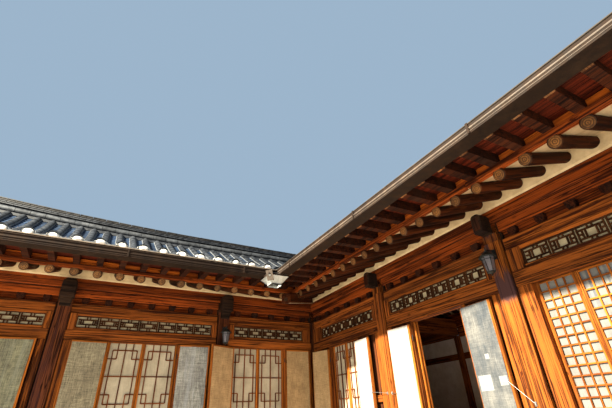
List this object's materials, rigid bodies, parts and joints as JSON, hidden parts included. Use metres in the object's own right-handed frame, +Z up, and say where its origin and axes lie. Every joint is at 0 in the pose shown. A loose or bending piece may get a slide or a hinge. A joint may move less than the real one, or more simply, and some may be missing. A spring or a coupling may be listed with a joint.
{
  "type": "hanok house",
  "caption": "Single-storey timber house of two wings round an inner courtyard corner, with tiled gable roofs, exposed round rafters and papered lattice windows.",
  "frame": {"origin": "on the ground under the inner corner of the courtyard, where the planes of the two fronts cross", "axes": "-X along the left wing's front, -Y along the right wing's front, +Z up"},
  "size_m": [14.4719, 14.0319, 6.3884],
  "materials": {
    "stone": "dressed granite",
    "floor": "oiled paper over clay",
    "column_wood": "dark oiled pine",
    "frame_wood": "aged oiled pine",
    "purlin_wood": "red-brown oiled pine",
    "rafter_wood": "round pine logs with plaster between them",
    "roof_tile": "fired grey clay",
    "gutter_metal": "satin dark brown",
    "bare_metal": "galvanised",
    "window_paper": "mulberry paper in a wooden lattice",
    "leaf_paper": "mulberry paper in a wooden frame",
    "wall_plaster": "lime plaster between timbers",
    "lantern_iron": "black paint"
  },
  "bodies": {
    "house": {"stone_platform": "stone", "floor": "floor", "column_corner": "column_wood", "column_left_1": "column_wood", "column_left_2": "column_wood", "column_left_3": "column_wood", "column_right_1": "column_wood", "column_right_2": "column_wood", "column_right_3": "column_wood", "tie_beam_left": "frame_wood", "tie_beam_right": "frame_wood", "purlin_front": "purlin_wood", "purlin_back": "purlin_wood", "roof_frame_left": "frame_wood", "roof_frame_right": "frame_wood", "rafters_left": "rafter_wood", "rafters_right": "rafter_wood", "valley_rafter": "rafter_wood", "flying_rafters_left": "purlin_wood", "flying_rafters_right": "purlin_wood", "roof_tiles_left": "roof_tile", "roof_tiles_right": "roof_tile", "roof_ridge": "roof_tile", "bargeboard_left": "frame_wood", "bargeboard_right": "frame_wood", "gutter": "gutter_metal", "gutter_hopper": "bare_metal", "bay_frame_left_1": "frame_wood", "bay_frame_left_2": "frame_wood", "bay_frame_left_3": "frame_wood", "bay_frame_right_1": "frame_wood", "bay_frame_right_2": "frame_wood", "threshold_right_2": "frame_wood", "bay_frame_right_3": "frame_wood", "lattice_left_1": "window_paper", "lattice_left_2": "window_paper", "lattice_left_3": "window_paper", "lattice_right_1": "window_paper", "grid_window_right_3": "window_paper", "grid_window_left_back": "window_paper", "grid_window_right_back": "window_paper", "leaf_left_1a": "leaf_paper", "leaf_left_1b": "leaf_paper", "leaf_left_2a": "leaf_paper", "leaf_left_2b": "leaf_paper", "leaf_left_3a": "leaf_paper", "leaf_left_3b": "leaf_paper", "leaf_right_1a": "leaf_paper", "leaf_right_1b": "leaf_paper", "wall_left_back": "wall_plaster", "wall_right_back": "wall_plaster", "wall_left_gable": "wall_plaster", "wall_right_gable": "wall_plaster", "lantern_left": "lantern_iron", "lantern_right": "lantern_iron"},
    "door_a": {"door_right_2a": "leaf_paper"},
    "door_b": {"door_right_2b": "leaf_paper"}
  },
  "joints": [
    {"name": "door_a_hinge", "type": "hinge", "parent": "house", "child": "door_a", "pos_m": [0.015, -4.045, 1.79], "axis": [0, 0, 1], "range_deg": [-177, 0]},
    {"name": "door_b_hinge", "type": "hinge", "parent": "house", "child": "door_b", "pos_m": [0.015, -3.05, 1.79], "axis": [0, 0, 1], "range_deg": [0, 177]}
  ]
}
